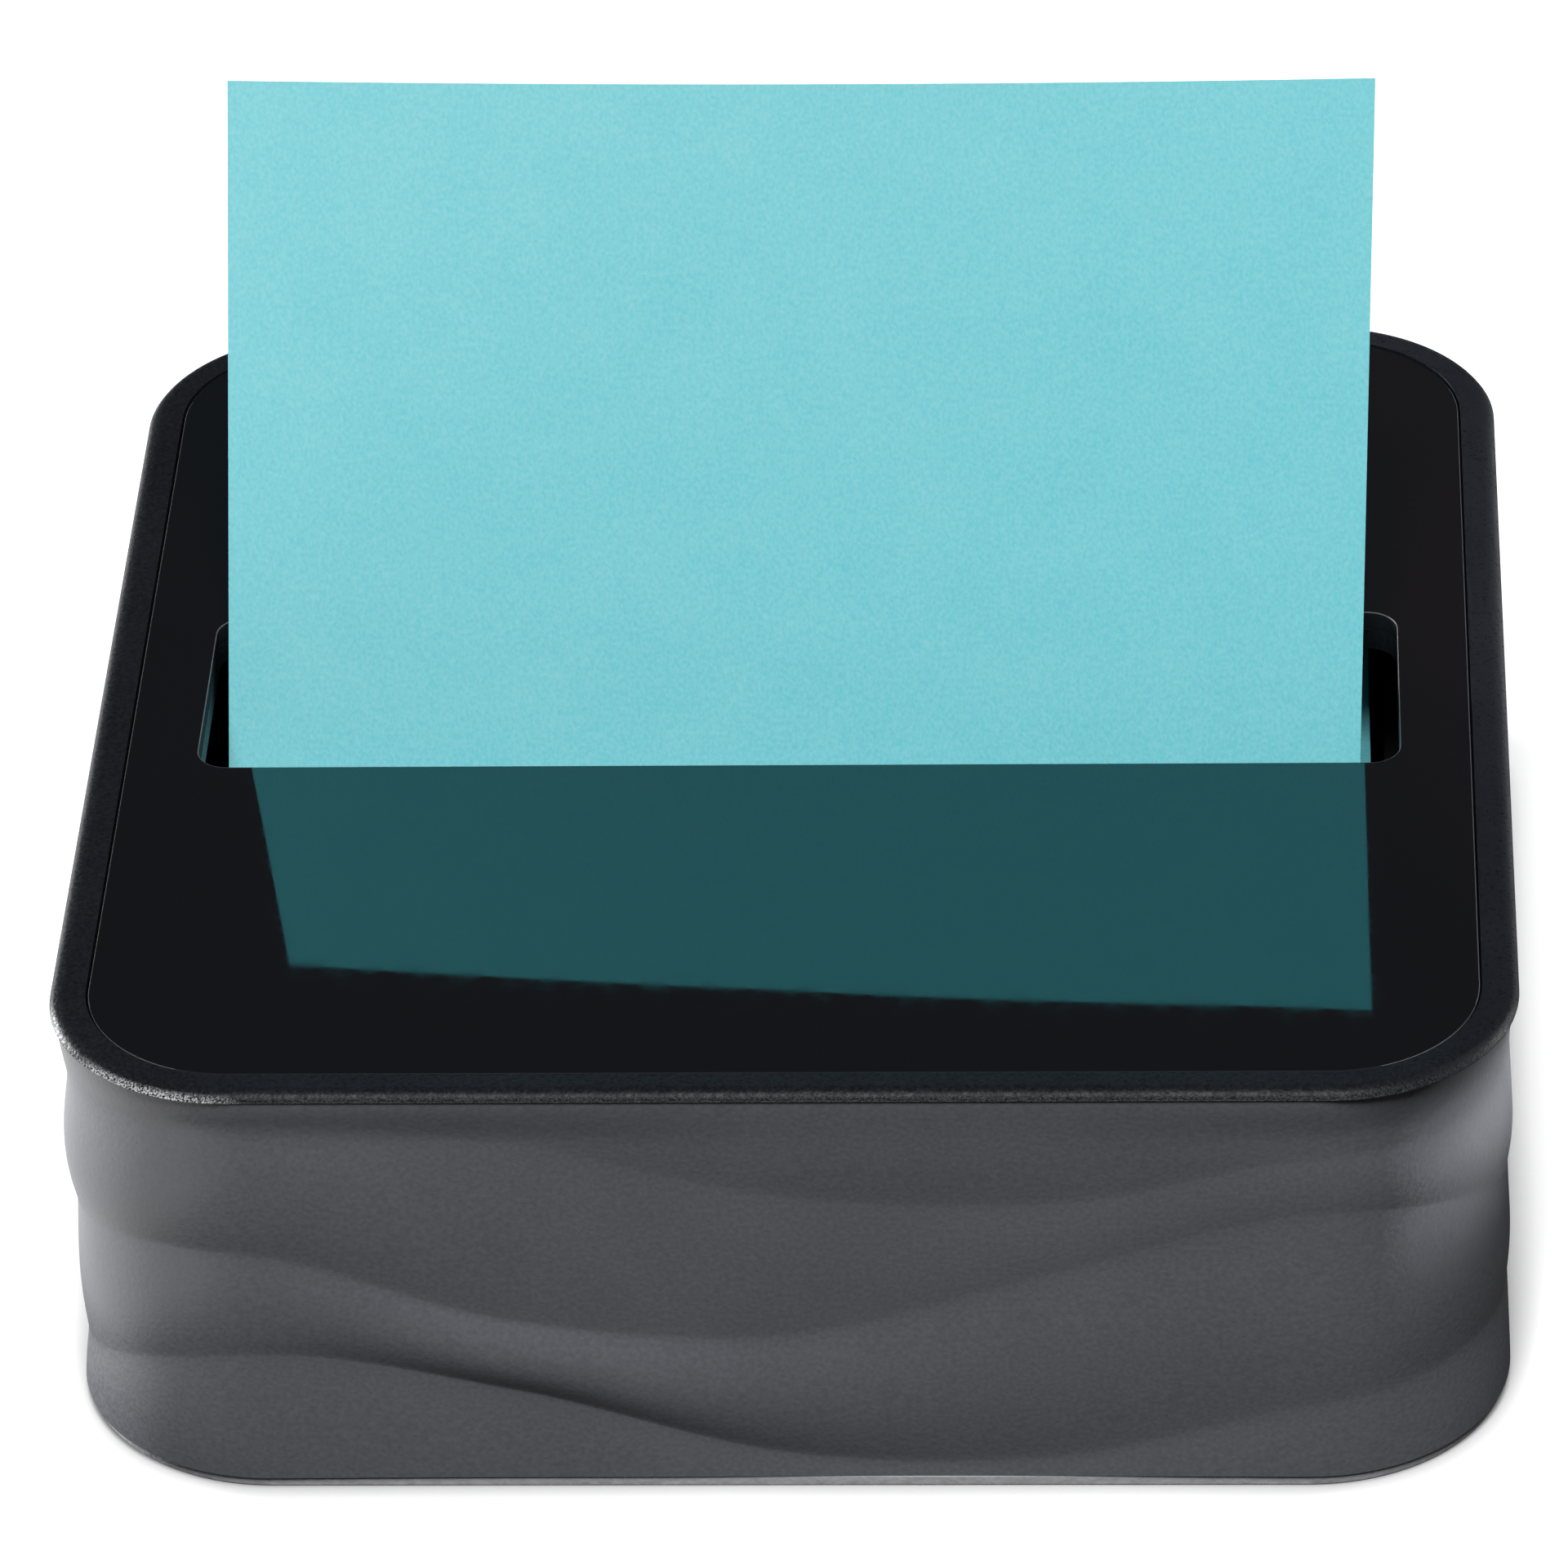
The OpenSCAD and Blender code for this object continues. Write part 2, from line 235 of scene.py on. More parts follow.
# %% Helpers for finishes
def new_finish(name, color, roughness, ior=1.5):
    finish = bpy.data.materials.new(name)
    finish.use_nodes = True
    shader = finish.node_tree.nodes["Principled BSDF"]
    shader.inputs["Base Color"].default_value = (*color, 1)
    shader.inputs["Roughness"].default_value = roughness
    shader.inputs["IOR"].default_value = ior
    return finish, finish.node_tree, shader


def noise(tree, scale, detail=2, stretch=(1, 1, 1)):
    place = tree.nodes.new("ShaderNodeTexCoord")
    stretched = tree.nodes.new("ShaderNodeMapping")
    stretched.inputs["Scale"].default_value = stretch
    texture = tree.nodes.new("ShaderNodeTexNoise")
    texture.inputs["Scale"].default_value = scale
    texture.inputs["Detail"].default_value = detail
    tree.links.new(place.outputs["Object"], stretched.inputs["Vector"])
    tree.links.new(stretched.outputs["Vector"], texture.inputs["Vector"])
    return texture.outputs["Fac"]


def spread(tree, value, low, high, start=0.3, stop=0.7):
    """Turn start into low and stop into high. A noise seldom leaves the range from 0.3 to 0.7."""
    ramp = tree.nodes.new("ShaderNodeMapRange")
    ramp.inputs["From Min"].default_value = start
    ramp.inputs["From Max"].default_value = stop
    ramp.inputs["To Min"].default_value = low
    ramp.inputs["To Max"].default_value = high
    tree.links.new(value, ramp.inputs["Value"])
    return ramp.outputs["Result"]


def distance_along(tree, way):
    """How far each point of the piece lies from the origin in a given direction."""
    place = tree.nodes.new("ShaderNodeTexCoord")
    dot = tree.nodes.new("ShaderNodeVectorMath")
    dot.operation = "DOT_PRODUCT"
    dot.inputs[1].default_value = way
    tree.links.new(place.outputs["Object"], dot.inputs[0])
    return dot.outputs["Value"]


def combined(tree, operation, first, second):
    node = tree.nodes.new("ShaderNodeMath")
    node.operation = operation
    tree.links.new(first, node.inputs[0])
    tree.links.new(second, node.inputs[1])
    return node.outputs["Value"]


# %% Bump and colour
def bump(tree, shader, height, depth):
    """Let a node's value raise and lower the surface, by at most the given depth."""
    ridge = tree.nodes.new("ShaderNodeBump")
    ridge.inputs["Strength"].default_value = 1
    ridge.inputs["Distance"].default_value = depth
    tree.links.new(height, ridge.inputs["Height"])
    tree.links.new(ridge.outputs["Normal"], shader.inputs["Normal"])


def two_tone(tree, shader, share, dark, light):
    """Mix two tones, each a plain colour or another node's output, into the base colour."""
    mixer = tree.nodes.new("ShaderNodeMix")
    mixer.data_type = "RGBA"
    tree.links.new(share, mixer.inputs["Factor"])
    for socket, tone in (("A", dark), ("B", light)):
        if isinstance(tone, tuple):
            mixer.inputs[socket].default_value = (*tone, 1)
        else:
            tree.links.new(tone, mixer.inputs[socket])
    tree.links.new(mixer.outputs["Result"], shader.inputs["Base Color"])
    return mixer.outputs["Result"]


def moulded(name, dark, light, smooth, rough, grain, depth, shine=0.5):
    """Moulded plastic: an even colour with fine grain in its tone, bump and roughness."""
    finish, tree, shader = new_finish(name, light, rough)
    shader.inputs["Specular IOR Level"].default_value = shine
    fine, slow = noise(tree, grain, 3), noise(tree, 90, 3)
    speckle = combined(tree, "ADD", spread(tree, fine, 0, 0.7), spread(tree, slow, 0, 0.3))
    two_tone(tree, shader, speckle, dark, light)
    tree.links.new(spread(tree, fine, smooth, rough), shader.inputs["Roughness"])
    bump(tree, shader, fine, depth)
    return finish


# %% Plastics, rubber and steel
shell_grey = moulded("shell_satin_grey", (0.084, 0.086, 0.095), (0.114, 0.116, 0.128),
                     0.36, 0.46, 3000, 0.02 * MM)
cover_black = moulded("cover_satin_black", (0.004, 0.0046, 0.006), (0.009, 0.0098, 0.012),
                      0.22, 0.5, 4200, 0.04 * MM, 0.055)
tray_black = moulded("tray_matt_black", (0.010, 0.010, 0.011), (0.014, 0.014, 0.015),
                     0.5, 0.7, 2600, 0.03 * MM)
base_black = moulded("base_matt_black", (0.016, 0.016, 0.017), (0.022, 0.022, 0.023),
                     0.5, 0.7, 2600, 0.03 * MM)
grip_grey = moulded("grip_soft_grey", (0.31, 0.31, 0.325), (0.40, 0.40, 0.415),
                    0.6, 0.85, 1800, 0.06 * MM, 0.3)


def metal(name, color, smooth, rough, stretch):
    finish, tree, shader = new_finish(name, color, rough)
    shader.inputs["Metallic"].default_value = 1
    drawn = noise(tree, 900, 4, stretch)
    tree.links.new(spread(tree, drawn, smooth, rough), shader.inputs["Roughness"])
    bump(tree, shader, drawn, 0.004 * MM)
    return finish


ballast_steel = metal("rolled_steel", (0.42, 0.42, 0.43), 0.35, 0.55, (0.04, 1, 1))
screw_steel = metal("zinc_steel", (0.55, 0.55, 0.56), 0.2, 0.35, (1, 1, 0.2))
for finish in (shell_grey, cover_black, tray_black, base_black, grip_grey, ballast_steel, screw_steel):
    print(finish.name, "has", len(finish.node_tree.nodes), "nodes")

# %% [markdown]
# The panel is black plastic polished like a mirror. Its index of refraction is a little high, which is
# what makes the note's image in it so clear, and its shine is tinted, because a dark glossy dye gives
# back blue and green rather than red. Only the faintest waviness bends it. Where the panel is cut it
# isn't polished, so its cut walls get a plainer black finish, and some broken edges a grey one that is
# a painted highlight.

# %% Gloss
panel_black, tree, shader = new_finish("panel_piano_black", (0.0038, 0.0013, 0.0017), 0.03, 1.82)
shader.inputs["Specular Tint"].default_value = (0.0, 0.93, 1.0, 1)
bump(tree, shader, noise(tree, 60, 1), 0.01 * MM)
tree.links.new(spread(tree, noise(tree, 700, 2), 0.015, 0.05), shader.inputs["Roughness"])
panel_edge = moulded("panel_cut_edge", (0.009, 0.010, 0.012), (0.011, 0.012, 0.014),
                     0.5, 0.6, 2600, 0.004 * MM, 0.02)
# The grey on the broken edges is a painted highlight.
panel_rim = moulded("panel_rim_painted_gleam", (0.05, 0.05, 0.053), (0.10, 0.10, 0.105),
                    0.3, 0.5, 2600, 0.004 * MM, 0.3)
print("panel finishes:", panel_black.name, panel_edge.name, panel_rim.name)

# %% [markdown]
# Note paper is a soft aqua with a fine mottle, because dye takes unevenly on the fibres. Two noises,
# one as fine as a fibre and one a few millimetres across, mix a lighter and a deeper tone. A slow ramp
# over the paper's place moves the whole mixture towards the lighter tone at its upper edge, most at
# its left corner: painted light, where the light falls most on the note.

# %% Paper
note_aqua, tree, shader = new_finish("note_aqua_paper", (0.18, 0.55, 0.61), 0.75)
fibres = noise(tree, 4200, 5, (1, 1, 0.7))
clouds = noise(tree, 170, 3)
mottle = combined(tree, "ADD", spread(tree, fibres, 0, 0.6), spread(tree, clouds, 0, 0.14))
# Painted light: a slow ramp lightens the paper towards its upper left.
painted_light_ramp = spread(tree, distance_along(tree, (-0.5, 0, 0.8)), 0, 0.45, 0.0, 0.075)
mottle_and_painted_light = combined(tree, "ADD", mottle, painted_light_ramp)
two_tone(tree, shader, mottle_and_painted_light, (0.098, 0.450, 0.505), (0.208, 0.530, 0.570))
bump(tree, shader, fibres, 0.015 * MM)
print("paper finish:", note_aqua.name)

# %% [markdown]
# The body's walls carry three long creases that rise and fall round all four sides, with a soft
# swell of plastic between each and the next. No modelling tool draws that by hand as well as the rule
# it follows: heights of each crease at twenty stations round the wall, in percent of the wall's own
# height, joined by a smooth closed curve. The stations start at the middle of the front and go round
# by way of the right side. Each swell has its own reach at the same stations, in percent of RELIEF:
# full at the sides, and fainter on the front, all but the narrow one. CREASE_SOFT rounds the bottom
# of each crease, HANG makes each swell lean a little towards its lower crease, and OUTSIDE is the
# share of the wall's height by which the lowest and the highest swell run on past its ends.

# %% Creases
LOW = [6, 5, 19, 22, 13, 10, 18, 30, 32, 21, 10, 11, 24, 32, 26, 13, 8, 13, 32, 23]
MIDDLE = [38, 54, 69, 54, 35, 37, 53, 66, 61, 43, 37, 50, 64, 67, 53, 37, 34, 48, 59, 42]
HIGH = [74, 72, 84, 81, 72, 67, 77, 90, 91, 80, 70, 75, 88, 93, 83, 72, 71, 81, 94, 88]
SWELL_FOOT = [50, 50, 50, 70, 80, 70, 80, 90, 90, 80, 70, 80, 90, 90, 80, 80, 80, 90, 60, 40]
SWELL_LOW = [100, 70, 45, 45, 80, 90, 80, 70, 80, 90, 90, 80, 70, 80, 90, 80, 60, 45, 50, 115]
SWELL_MIDDLE = [15, 12, 15, 55, 80, 90, 80, 70, 60, 70, 80, 90, 90, 80, 70, 80, 90, 100, 70, 25]
SWELL_TOP = [60, 60, 20, 20, 70, 90, 80, 80, 90, 90, 80, 90, 90, 80, 80, 90, 90, 80, 15, 15]
RELIEF = 0.55 * MM
CREASE_SOFT = 0.2
HANG = 0.85
OUTSIDE = 0.20
wall_h = shell_top - base_z
print("wall is", round(wall_h / MM, 2), "mm high, its swells reach", round(RELIEF / MM, 2), "mm")


def along(stations, t):
    """Share, from 0 to 1, that the closed curve through the stations has at t."""
    k = t * len(stations)
    i = math.floor(k)
    f = k - i
    a, b, c, d = (stations[(i + step) % len(stations)] for step in (-1, 0, 1, 2))
    return (b + f * (c - a + f * (2 * a - 5 * b + 4 * c - d + f * (3 * (b - c) + d - a))) / 2) / 100


def crease(stations, t):
    return base_z + wall_h * along(stations, t)


def swell(phase):
    """Share of a wave's full reach, at a share of the way from one crease up to the next."""
    s = math.sin(math.pi * phase ** HANG)
    soft = CREASE_SOFT
    return (math.sqrt(s * s + soft * soft) - soft) / (math.sqrt(1 + soft * soft) - soft)


# %% [markdown]
# A point of the wall is found from the share of the way round a square with round corners. The rows
# of the mesh follow the creases themselves, closer together near each crease, so a crease runs along
# an edge of the mesh and stays crisp instead of stepping across the rows. At its top the wall runs
# out softly to meet the edge of the cover.

# %% Points of the wall
def outline_point(side, corner, t, out=0.0):
    """The point at the share t of the way round a square with round corners."""
    flat = side - 2 * corner
    arc = corner * math.pi / 2
    quarter = flat + arc
    path = (t * 4 * quarter + quarter / 2) % (4 * quarter)
    q = int(path // quarter)
    e = path - q * quarter - arc / 2
    turn = math.pi / 2 / arc * (e if e < 0 else max(0, e - flat))
    x = max(0, min(flat, e)) - flat / 2 + (corner + out) * math.sin(turn)
    y = -(side / 2 - corner) - (corner + out) * math.cos(turn)
    for _ in range(q):
        x, y = -y, x
    return x, y


def row_shares(count):
    """Shares from 0 to 1 that crowd together at both ends."""
    return [(1 - math.cos(math.pi * k / count)) / 2 for k in range(count)]


# %% Rows of the wall
BANDS = [row_shares(count) for count in (16, 22, 22, 16)]
FLARE, FLARE_H = 0.5 * MM, 3.5 * MM
print("the wall has", sum(len(shares) for shares in BANDS), "rows of quads")


def flared(z, out):
    """Let the wall run out to the cover's edge over its last few millimetres."""
    s = max(0, (z - shell_top + FLARE_H) / FLARE_H)
    share = s * s * (3 - 2 * s)
    return z, out * (1 - share) + FLARE * share


def wall_rows(t):
    """Height and swell of each row of the wall, from its foot to its top, at the share t."""
    marks = [base_z - OUTSIDE * wall_h, crease(LOW, t), crease(MIDDLE, t), crease(HIGH, t),
             shell_top + OUTSIDE * wall_h]
    reaches = [RELIEF * along(s, t) for s in (SWELL_FOOT, SWELL_LOW, SWELL_MIDDLE, SWELL_TOP)]
    rows = []
    for low, high, reach, shares in zip(marks, marks[1:], reaches, BANDS):
        first, last = max(low, base_z), min(high, shell_top)
        for share in shares:
            z = first + (last - first) * share
            rows.append(flared(z, reach * swell((z - low) / (high - low))))
    rows.append(flared(shell_top, 0))
    return rows


# %% [markdown]
# The shell is one moulding, so it is made as one closed skin: a grid is added, and each of its
# vertices is moved to its place, like paper wrapped round a mould. The rows run from the middle of
# the inner floor, up the inside, over the rim, down the wavy wall and in under the base. The grid's
# two side edges then meet and are merged.

# %% Wrapping a grid
def wrapped_grid(name, columns, rows, place):
    """A grid of columns by rows quads, with each vertex moved to place(column, row)."""
    bpy.ops.object.select_all(action="DESELECT")
    bpy.ops.mesh.primitive_grid_add(x_subdivisions=columns, y_subdivisions=rows, size=1)
    piece = bpy.context.object
    piece.name = name
    for number, vertex in enumerate(piece.data.vertices):
        vertex.co = place(number % (columns + 1), number // (columns + 1))
    return piece


def close_up(piece):
    """Merge the seam and the poles, and turn every face outwards."""
    edit(piece)
    bpy.ops.mesh.select_all(action="SELECT")
    bpy.ops.mesh.remove_doubles(threshold=0.002 * MM)
    bpy.ops.mesh.dissolve_degenerate(threshold=0.001 * MM)
    bpy.ops.mesh.select_all(action="SELECT")
    bpy.ops.mesh.normals_make_consistent(inside=False)
    leave_edit()


# %% Inside and underside of the shell
SHELL_CORNER, CAVITY_CORNER = 12.8 * MM, 10.6 * MM
LIP = 0.7 * MM
STEP_Z = shell_top - 1.5 * MM
FILLET, FILLET_STEPS = 0.8 * MM, 6


def fillet_rows(side, corner, z, radius):
    """Rings of the round that joins a flat floor at height z to the cavity's wall."""
    rings = []
    for k in range(FILLET_STEPS + 1):
        turn = math.pi / 2 * k / FILLET_STEPS
        inward = radius * (1 - math.sin(turn))
        rings.append((side - 2 * inward, corner - inward, z + radius * (1 - math.cos(turn))))
    return rings


inner = [(0.2 * MM, 0.1 * MM, tray_z), (cavity_side / 2, CAVITY_CORNER / 2, tray_z)]
inner += fillet_rows(cavity_side, CAVITY_CORNER, tray_z, FILLET)
inner += [(cavity_side, CAVITY_CORNER, STEP_Z - 0.1 * MM),
          (cavity_side + 0.1 * MM, CAVITY_CORNER, STEP_Z),
          (shell_side - 2 * LIP - 0.1 * MM, SHELL_CORNER - LIP, STEP_Z),
          (shell_side - 2 * LIP, SHELL_CORNER - LIP, STEP_Z + 0.05 * MM),
          (shell_side - 2 * LIP, SHELL_CORNER - LIP, shell_top - 0.08 * MM),
          (shell_side - 2 * LIP + 0.1 * MM, SHELL_CORNER - LIP, shell_top)]
under = [(cavity_side + 0.3 * MM, CAVITY_CORNER, base_z),
         (cavity_side, CAVITY_CORNER, base_z + 0.15 * MM),
         (cavity_side, CAVITY_CORNER, floor_z),
         (cavity_side / 2, CAVITY_CORNER / 2, floor_z),
         (0.2 * MM, 0.1 * MM, floor_z)]
print(len(inner), "rings inside and", len(under), "underneath")

# %% Shell
AROUND = 640
wall_columns = [wall_rows(i / AROUND) for i in range(AROUND)]
wall_count = len(wall_columns[0])


def shell_point(column, row):
    t = (column % AROUND) / AROUND
    if row < len(inner) or row >= len(inner) + wall_count:
        side, corner, z = inner[row] if row < len(inner) else under[row - len(inner) - wall_count]
        return (*outline_point(side, corner, t), z)
    z, out = wall_columns[column % AROUND][wall_count - 1 - (row - len(inner))]
    return (*outline_point(shell_side, SHELL_CORNER, t, out), z)


shell = wrapped_grid("wavy_shell", AROUND, len(inner) + wall_count + len(under) - 1, shell_point)
close_up(shell)
print("shell skin:", len(shell.data.vertices), "vertices")

# %% [markdown]
# Four bosses stand under the shell's floor for the base screws. They are plain pegs, joined to the
# floor, and then each is drilled.

# %% Bosses
SCREW_INSET = 6 * MM
SCREW_XY = ballast_side / 2 - SCREW_INSET
BOSS_D, PILOT_D = 7 * MM, 2.7 * MM
corners = [(-1, -1), (1, -1), (1, 1), (-1, 1)]
for x, y in corners:
    add(shell, peg("boss", BOSS_D, ballast_z, floor_z + 0.7 * MM, x * SCREW_XY, y * SCREW_XY))
for x, y in corners:
    cut(shell, peg("pilot", PILOT_D, ballast_z - 1 * MM, floor_z, x * SCREW_XY, y * SCREW_XY))
select_only(shell)
bpy.ops.object.shade_smooth_by_angle(angle=math.radians(35))
finish_piece(shell, shell_grey, "shell_grey", "outer_shell")

# %% [markdown]
# The cover is a thin border plate with a rolled edge, on a tongue that drops into the shell's rim
# and a skirt below it. The rolled edge is made by raising the top face in small steps, each a little
# further in, along an arc. The other plates overlap it slightly before they are joined, because a
# Boolean works badly on faces that lie exactly on each other.

# %% Cover border with its rolled edge
COVER_CORNER = 12.1 * MM
BORDER = 2.35 * MM
ROLL_W, ROLL_H = 1.0 * MM, 0.65 * MM
ROLL_R = (ROLL_W ** 2 + ROLL_H ** 2) / (2 * ROLL_H)
ROLL_STEPS = 12
SLIVER = 0.05 * MM
cover = plate("satin_cover", cover_side, cover_side, COVER_CORNER,
              shell_top, shell_top + SLIVER)
select_faces(cover, lambda face: face.normal.z > 0.9)
end_turn = math.asin(ROLL_W / ROLL_R)
turns = [end_turn * (1 - k / ROLL_STEPS) for k in range(ROLL_STEPS + 1)]
heights = [cover_top - ROLL_R * (1 - math.cos(turn)) for turn in turns]
for k in range(ROLL_STEPS):
    low = max(heights[k], shell_top + SLIVER)
    inward = ROLL_R * (math.sin(turns[k]) - math.sin(turns[k + 1]))
    bpy.ops.mesh.inset(thickness=inward, depth=heights[k + 1] - low, use_even_offset=True)
leave_edit()

# %% Tongue, skirt, pocket and slot
OVERLAP = 0.3 * MM
FIT = 0.15 * MM
SLOT_W, SLOT_D, SLOT_CORNER, SLOT_Y = 79.5 * MM, 18.3 * MM, 2 * MM, -0.1 * MM
DECK_Z = panel_z - 1.6 * MM
SKIRT_T = 1.4 * MM
add(cover, plate("tongue", shell_side - 2 * LIP - 2 * FIT, shell_side - 2 * LIP - 2 * FIT,
                 SHELL_CORNER - LIP - FIT, STEP_Z + FIT, shell_top + OVERLAP))
add(cover, plate("skirt", base_side, base_side, CAVITY_CORNER - FIT,
                 skirt_z, STEP_Z + FIT + OVERLAP))
cut(cover, plate("underside", base_side - 2 * SKIRT_T, base_side - 2 * SKIRT_T,
                 CAVITY_CORNER - FIT - SKIRT_T, skirt_z - 1 * MM, DECK_Z))
cut(cover, plate("pocket", cover_side - 2 * BORDER, cover_side - 2 * BORDER,
                 COVER_CORNER - BORDER, panel_z, cover_top + 1 * MM))
cut(cover, plate("slot", SLOT_W, SLOT_D, SLOT_CORNER, DECK_Z - 1 * MM, cover_top, SLOT_Y))
soften(cover, 0.08 * MM)

# %% [markdown]
# The rolled edge carries fine bright grains, painted glints that stand in for light caught by its
# grain: few along the front and most at the left front corner. They are a fine Noise, multiplied by
# masks that fade it out above and below the edge and away from that corner. Each mask is a distance
# along one direction, so it needs no image and stays in its place from every side.

# %% Painted glints on the rolled edge
# Tone of the painted glints, and the direction of the corner where they are brightest.
GLINT_CORNER_WAY = (-0.42, -0.907, 0)
GLINT_TONE = (0.58, 0.58, 0.60)


def paint_edge_glints(finish, top, depth):
    tree = finish.node_tree
    shader = tree.nodes["Principled BSDF"]
    height = distance_along(tree, (0, 0, 1))
    below_top = spread(tree, height, 1, 0, top - depth * 0.6, top - depth * 0.25)
    above_foot = spread(tree, height, 0, 1, top - depth * 1.3, top - depth)
    at_corner = spread(tree, distance_along(tree, GLINT_CORNER_WAY), 0.05, 1, 0.0566, 0.0581)
    share = spread(tree, noise(tree, 8600, 2), 0, 1, 0.40, 0.70)
    for mask in (below_top, above_foot, at_corner):
        share = combined(tree, "MULTIPLY", share, mask)
    # The grains mix a light tone into the base colour: a painted glint.
    tone = shader.inputs["Base Color"].links[0].from_socket
    two_tone(tree, shader, share, tone, GLINT_TONE)


paint_edge_glints(cover_black, cover_top, ROLL_H)
finish_piece(cover, cover_black, "cover_black", "top_cover")

# %% [markdown]
# The panel is a flat plate with the slot cut through it. Its edges are only just broken. A cut edge is
# not polished like the face, so its wall gets a plainer black. The broken edge gets a greyer colour at
# the slot, the corners and the sides: a painted highlight, which together with its own shine draws a
# hair of light round the panel and round the slot. Along the front the painted highlight is left off,
# because the cover's rim shades it there. How far a face's normal points up and sideways tells which
# kind of face it is.

# %% Gloss panel
panel = plate("mirror_panel", panel_side, panel_side, COVER_CORNER - BORDER - FIT,
              panel_z, panel_top)
cut(panel, plate("panel_slot", SLOT_W, SLOT_D, SLOT_CORNER, panel_z - 1 * MM, cover_top, SLOT_Y))
soften(panel, 0.06 * MM)
finish_piece(panel, panel_black, "panel_black", "gloss_panel")
panel.data.materials.append(panel_edge)
panel.data.materials.append(panel_rim)
LEVEL, BROKEN, SIDEWAYS = 0.99, 0.1, 0.25
CUT_EDGE, PAINTED_GLEAM = 1, 2


def near_slot(place):
    return abs(place.x) < SLOT_W / 2 + MM and abs(place.y - SLOT_Y) < SLOT_D / 2 + MM


# Broken edges at the slot, corners and sides get the painted highlight; the front ones, shaded by the
# rim, keep the plain cut edge.
for face in panel.data.polygons:
    painted_gleam_here = near_slot(face.center) or abs(face.normal.x) > SIDEWAYS
    if face.normal.z < LEVEL:
        face.material_index = PAINTED_GLEAM if face.normal.z > BROKEN and painted_gleam_here else CUT_EDGE
print(sum(face.material_index == PAINTED_GLEAM for face in panel.data.polygons), "faces draw a hair of light")

# %% [markdown]
# Inside stand the open tray, the steel weight, the plate that closes the base and the pale sheet
# under it. They are cut from plates in the same way, each with its holes. A cylinder laid across the
# tray cuts the two scoops through which fingers lift the last notes.

# %% Tray
TRAY_CORNER, TRAY_WALL, SCOOP_R = 1.5 * MM, 1.5 * MM, 12 * MM
tray = plate("note_tray_box", tray_side, tray_side, TRAY_CORNER + TRAY_WALL,
             tray_z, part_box("note_tray")[1].z)
cut(tray, plate("tray_inside", tray_side - 2 * TRAY_WALL, tray_side - 2 * TRAY_WALL,
                TRAY_CORNER, pad_z, shell_top))
bpy.ops.object.select_all(action="DESELECT")
bpy.ops.mesh.primitive_cylinder_add(vertices=128, radius=SCOOP_R, depth=tray_side + 2 * MM,
                                    location=(0, 0, pad_z + SCOOP_R),
                                    rotation=(0, math.pi / 2, 0))
cut(tray, bpy.context.object)
soften(tray, 0.25 * MM)
finish_piece(tray, tray_black, "tray_black", "note_tray")

# %% Weight, base and grip sheet
WEIGHT_CORNER, BOSS_HOLE_D = 6.5 * MM, 7.6 * MM
HEAD_POCKET_D, HEAD_POCKET_H, SHANK_HOLE_D = 5.8 * MM, 1.6 * MM, 3.2 * MM
weight = plate("steel_weight", ballast_side, ballast_side, WEIGHT_CORNER,
               ballast_z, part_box("ballast_plate")[1].z)
base = plate("base_closing_plate", base_side, base_side, CAVITY_CORNER - FIT, base_z, ballast_z)
for x, y in corners:
    place = (x * SCREW_XY, y * SCREW_XY)
    cut(weight, peg("boss_hole", BOSS_HOLE_D, ballast_z - 1 * MM, tray_z, *place))
    cut(base, peg("head_pocket", HEAD_POCKET_D, base_z - 1 * MM, base_z + HEAD_POCKET_H, *place))
    cut(base, peg("shank_hole", SHANK_HOLE_D, base_z - 1 * MM, ballast_z + 1 * MM, *place))
soften(weight, 0.3 * MM)
soften(base, 0.2 * MM)
finish_piece(weight, ballast_steel, "ballast_steel", "ballast_plate")
finish_piece(base, base_black, "base_black", "base_plate")
grip = plate("grip_sheet", grip_side, grip_side, SHELL_CORNER + 0.1 * MM, 0, base_z)
soften(grip, 0.12 * MM)
finish_piece(grip, grip_grey, "grip_grey", "grip_pad")

# %% [markdown]
# A base screw has a flat head with a cross recess and a real thread. The thread is a long strip of
# grid as wide as one pitch, wound up round the axis, so that each turn meets the one below and is
# merged with it. One screw is made with care and four copies of it are placed, each with its own
# mesh.

# %% Screws
HEAD_D, HEAD_H, PITCH = 5.2 * MM, 1.4 * MM, 0.8 * MM
RECESS_L, RECESS_W, RECESS_H = 3 * MM, 0.8 * MM, 0.8 * MM
THREAD_R = (1.02, 1.05, 1.28, 1.28, 1.05, 1.02)
THREAD_Z = (0, 0.18, 0.36, 0.44, 0.62, 0.8)
THREAD_STEPS = 36
head_low, shank_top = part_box("base_screw_1")[0].z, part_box("base_screw_1")[1].z
head_top = head_low + HEAD_H


def thread_point(column, row):
    radius = THREAD_R[column] * MM
    z = THREAD_Z[column] * MM
    turn = row * math.tau / THREAD_STEPS
    lift = head_top - 0.4 * MM + PITCH * row / THREAD_STEPS
    return radius * math.cos(turn), radius * math.sin(turn), z + lift


turns_up = int((shank_top - head_top + 0.2 * MM) / PITCH)
thread = wrapped_grid("thread", len(THREAD_R) - 1, THREAD_STEPS * turns_up, thread_point)
edit(thread, "EDGE")
bpy.ops.mesh.select_all(action="SELECT")
bpy.ops.mesh.remove_doubles(threshold=0.002 * MM)
bpy.ops.mesh.select_all(action="DESELECT")
bpy.ops.mesh.select_non_manifold(extend=False)
bpy.ops.mesh.edge_face_add()
bpy.ops.mesh.select_all(action="SELECT")
bpy.ops.mesh.normals_make_consistent(inside=False)
leave_edit()

